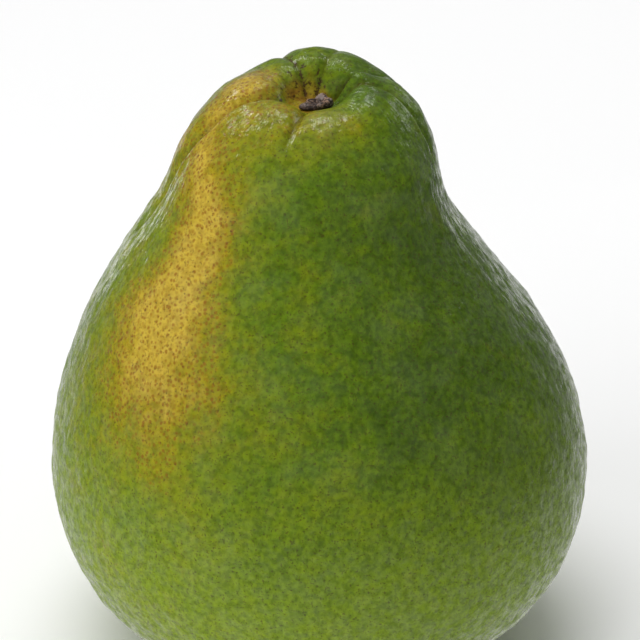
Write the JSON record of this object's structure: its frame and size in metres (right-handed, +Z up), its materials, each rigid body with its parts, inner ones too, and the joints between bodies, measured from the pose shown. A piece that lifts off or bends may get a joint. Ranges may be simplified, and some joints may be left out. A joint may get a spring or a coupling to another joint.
{
  "type": "pomelo",
  "caption": "Whole green pomelo, pear-shaped with a lobed crown, furrows running into its stem hollow and a dried calyx, resting on its flat base.",
  "frame": {"origin": "centre of the small flat spot that the fruit rests on", "axes": "+Z up from the base to the stem end; -Y is the side with the open front furrow; +X to its right"},
  "size_m": [0.1446, 0.1431, 0.1611],
  "materials": {
    "rind": "waxy green citrus rind with fine pits, yellow on one side of the neck",
    "dried_calyx": "dry, corky and dark brown"
  },
  "bodies": {
    "root": {"fruit": "rind", "calyx_button": "dried_calyx"}
  },
  "joints": []
}
